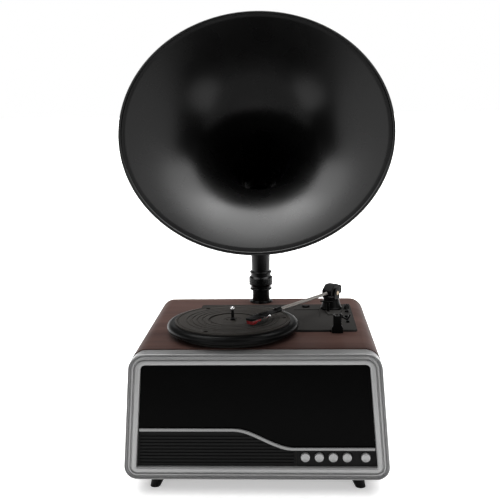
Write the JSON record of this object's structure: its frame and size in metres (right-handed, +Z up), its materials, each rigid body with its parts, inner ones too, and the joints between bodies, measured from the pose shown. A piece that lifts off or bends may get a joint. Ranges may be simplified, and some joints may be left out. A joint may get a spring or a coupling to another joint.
{
  "type": "record_player",
  "caption": "Retro record player: tapered wood cabinet with silver front frame, black panel and louvres, belt-driven turntable with tonearm, and a large flared black horn on a curved neck.",
  "frame": {"origin": "centre of the bounding box in plan, on the surface that the feet stand on", "axes": "+X right seen from the front, +Y to the back, +Z up; the louvred front faces -Y"},
  "size_m": [0.3926, 0.3702, 0.6957],
  "materials": {
    "wood_veneer": "satin dark walnut veneer with fine grain along the width",
    "silver_plastic": "satin silver paint",
    "gloss_black": "polished black",
    "matt_black": "matt black",
    "deck_grey": "fine grey-black texture",
    "mat_rubber": "matt rubber",
    "trim_aluminium": "brushed",
    "tube_aluminium": "satin",
    "steel": "machined",
    "weight_iron": "black paint",
    "brass": "turned",
    "red_plastic": "translucent red",
    "circuit_board": "green board",
    "speaker_paper": "paper cone in a black frame",
    "fibreboard": "raw fibreboard",
    "horn_black": "smooth satin black"
  },
  "bodies": {
    "cabinet": {"cabinet_wrap": "wood_veneer", "back_panel": "matt_black", "foot_front_left": "matt_black", "foot_front_right": "matt_black", "foot_back_left": "matt_black", "foot_back_right": "matt_black", "bezel": "silver_plastic", "front_panel": "gloss_black", "grille_panel": "matt_black", "control_panel": "matt_black", "trim_strip": "trim_aluminium", "baffle_board": "fibreboard", "control_board": "circuit_board", "speaker_left": "speaker_paper", "speaker_right": "speaker_paper", "main_board": "circuit_board", "transformer": "steel", "power_inlet": "matt_black", "audio_jacks": "matt_black", "base_plate": "deck_grey", "spindle_bush": "brass", "motor": "steel", "drive_belt": "mat_rubber", "arm_base": "matt_black", "arm_rest": "matt_black", "cue_bracket": "matt_black", "transit_screw": "matt_black", "horn_socket": "horn_black", "horn_collar": "horn_black"},
    "platter_body": {"platter": "matt_black", "platter_mat": "mat_rubber", "spindle": "steel"},
    "pulley_body": {"motor_pulley": "brass"},
    "arm_turret": {"arm_yoke": "matt_black"},
    "arm_beam": {"arm_head": "matt_black", "counterweight": "weight_iron", "arm_tube": "tube_aluminium", "headshell": "gloss_black", "cartridge": "red_plastic", "stylus": "red_plastic", "finger_lift": "tube_aluminium"},
    "clip_body": {"arm_clip": "matt_black"},
    "cue_lever_body": {"cue_lever": "matt_black"},
    "cue_lift_body": {"cue_lift": "matt_black"},
    "speed_switch_body": {"speed_switch": "matt_black"},
    "auto_stop_switch_body": {"auto_stop_switch": "matt_black"},
    "button_1_body": {"push_button_1": "silver_plastic"},
    "button_2_body": {"push_button_2": "silver_plastic"},
    "button_3_body": {"push_button_3": "silver_plastic"},
    "button_4_body": {"push_button_4": "silver_plastic"},
    "volume_knob_body": {"volume_knob": "silver_plastic"},
    "horn_body": {"horn_neck": "horn_black", "horn_bell": "horn_black"}
  },
  "joints": [
    {"name": "platter_spin", "type": "hinge", "parent": "cabinet", "child": "platter_body", "pos_m": [-0.04179, -0.04387, 0.2284], "axis": [0, 0, 1], "continuous": true},
    {"name": "pulley_spin", "type": "hinge", "parent": "cabinet", "child": "pulley_body", "pos_m": [-0.00179, 0.02541, 0.2255], "axis": [0, 0, 1], "continuous": true},
    {"name": "arm_swing", "type": "hinge", "parent": "cabinet", "child": "arm_turret", "pos_m": [0.11441, 0.08763, 0.2363], "axis": [0, 0, 1], "range_deg": [-6.5, 37.1]},
    {"name": "arm_lift", "type": "hinge", "parent": "arm_turret", "child": "arm_beam", "pos_m": [0.11441, 0.08763, 0.2463], "axis": [-0.809, 0.5878, 0], "range_deg": [-0.4, 12]},
    {"name": "arm_clip_turn", "type": "hinge", "parent": "cabinet", "child": "clip_body", "pos_m": [0.12201, -0.04312, 0.239], "axis": [0, 1, 0], "range_deg": [-118, 0]},
    {"name": "cue_lever_turn", "type": "hinge", "parent": "cabinet", "child": "cue_lever_body", "pos_m": [0.14001, 0.08563, 0.2233], "axis": [-1, 0, 0], "range_deg": [0, 32]},
    {"name": "cue_lift_slide", "type": "slide", "parent": "cabinet", "child": "cue_lift_body", "axis": [0, 0, 1], "range_m": [0, 0.007]},
    {"name": "speed_switch_slide", "type": "slide", "parent": "cabinet", "child": "speed_switch_body", "axis": [0, 1, 0], "range_m": [-0.006, 0.006]},
    {"name": "auto_stop_slide", "type": "slide", "parent": "cabinet", "child": "auto_stop_switch_body", "axis": [0, 1, 0], "range_m": [-0.0025, 0.0025]},
    {"name": "button_1_press", "type": "slide", "parent": "cabinet", "child": "button_1_body", "axis": [0, 1, 0], "range_m": [0, 0.0015], "stiffness_N_per_m": 400},
    {"name": "button_2_press", "type": "slide", "parent": "cabinet", "child": "button_2_body", "axis": [0, 1, 0], "range_m": [0, 0.0015], "stiffness_N_per_m": 400},
    {"name": "button_3_press", "type": "slide", "parent": "cabinet", "child": "button_3_body", "axis": [0, 1, 0], "range_m": [0, 0.0015], "stiffness_N_per_m": 400},
    {"name": "button_4_press", "type": "slide", "parent": "cabinet", "child": "button_4_body", "axis": [0, 1, 0], "range_m": [0, 0.0015], "stiffness_N_per_m": 400},
    {"name": "volume_turn", "type": "hinge", "parent": "cabinet", "child": "volume_knob_body", "pos_m": [0.15211, -0.1376, 0.057], "axis": [0, -1, 0], "range_deg": [-150, 150]},
    {"name": "horn_swivel", "type": "hinge", "parent": "cabinet", "child": "horn_body", "pos_m": [-0.00499, 0.15663, 0.26], "axis": [0, 0, 1], "range_deg": [-45, 45]}
  ],
  "couplings": [
    {"joint": "pulley_spin", "follows": "platter_spin", "ratio": 10.75},
    {"joint": "cue_lever_turn", "follows": "cue_lift_slide", "rad_per_m": 74.79}
  ]
}
